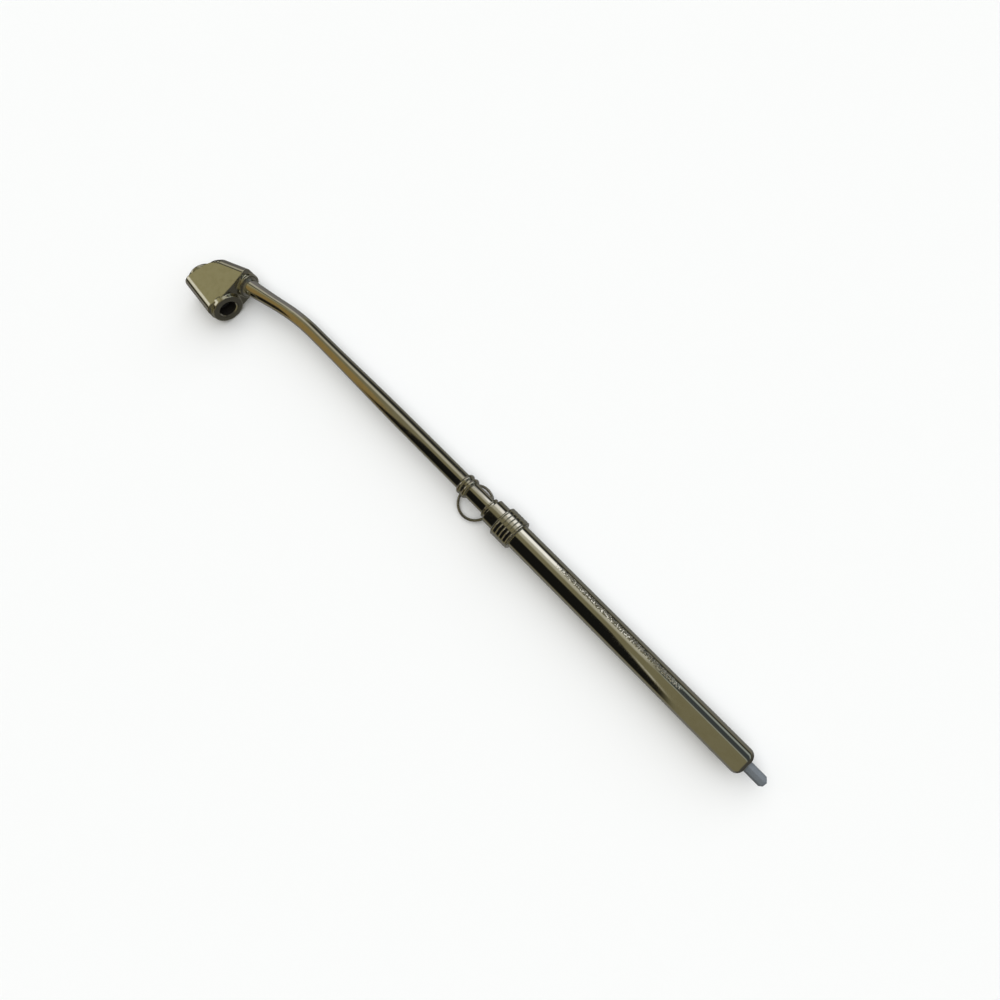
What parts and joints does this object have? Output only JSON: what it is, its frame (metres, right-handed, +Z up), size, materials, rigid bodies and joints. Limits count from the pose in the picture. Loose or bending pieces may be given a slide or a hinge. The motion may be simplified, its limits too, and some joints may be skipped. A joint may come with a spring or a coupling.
{
  "type": "dual-foot tyre pressure gauge",
  "caption": "Pencil-type truck tyre pressure gauge with a two-mouthed air chuck on a bent tubular stem, a hanging ring and a sliding square indicator bar.",
  "frame": {"origin": "under the middle of the gauge's outer box, on the surface that it lies on", "axes": "+X along the barrel from the head towards the indicator bar, +Z up off the surface, -Y the side that the head is bent towards"},
  "size_m": [0.3372, 0.0364, 0.015],
  "materials": {
    "plated_casting": "bright plating over a zinc casting, slightly rippled",
    "chrome_tube": "bright plated drawn tube, lightly scratched",
    "chrome_barrel": "bright plated drawn tube with fine handling scratches",
    "chrome_nut": "bright plated turned brass",
    "bright_nickel": "bright nickel over turned brass",
    "ring_wire": "plated spring wire, slightly dulled",
    "solder": "soft solder, dull",
    "turned_brass": "turned brass",
    "small_steel": "zinc plated steel",
    "spring_steel": "oiled spring wire",
    "seal_rubber": "black nitrile rubber",
    "fibre_gasket": "red vulcanised fibre",
    "bar_matte": "grey-blue moulded nylon with engraved graduations"
  },
  "bodies": {
    "gauge": {"head_casting": "plated_casting", "front_mouth_bush": "bright_nickel", "rear_mouth_bush": "bright_nickel", "front_washer": "seal_rubber", "rear_washer": "seal_rubber", "solder_ring": "solder", "stem_tube": "chrome_tube", "tube_ferrule": "bright_nickel", "coupling_nut": "chrome_nut", "joint_gasket": "fibre_gasket", "inlet_bush": "turned_brass", "barrel_tube": "chrome_barrel", "main_spring": "spring_steel", "end_guide": "bright_nickel", "bar_grip_ring": "seal_rubber"},
    "spool": {"depressor_spool": "turned_brass", "spool_seals": "seal_rubber"},
    "collar": {"hanger_collar": "bright_nickel"},
    "ring": {"hanging_ring": "ring_wire"},
    "piston": {"piston_body": "turned_brass", "piston_cup": "seal_rubber", "cup_screw": "small_steel", "spring_seat": "small_steel"},
    "bar": {"indicator_bar": "bar_matte"}
  },
  "joints": [
    {"name": "spool_shift", "type": "slide", "parent": "gauge", "child": "spool", "axis": [0.9962, -0.0872, 0], "range_m": [-0.0011, 0.0011]},
    {"name": "collar_swivel", "type": "hinge", "parent": "gauge", "child": "collar", "pos_m": [0.00472, 0.01102, 0.0075], "axis": [1, 0, 0], "continuous": true},
    {"name": "ring_pivot", "type": "hinge", "parent": "collar", "child": "ring", "pos_m": [0.00342, 0.01102, 0.0017], "axis": [0.3584, 0.9336, 0], "range_deg": [0, 170]},
    {"name": "piston_slide", "type": "slide", "parent": "gauge", "child": "piston", "axis": [1, 0, 0], "range_m": [0, 0.06], "stiffness_N_per_m": 1400, "springref_m": -0.004, "deforming": ["main_spring"]},
    {"name": "bar_slide", "type": "slide", "parent": "piston", "child": "bar", "axis": [1, 0, 0], "range_m": [0, 0.042]}
  ]
}
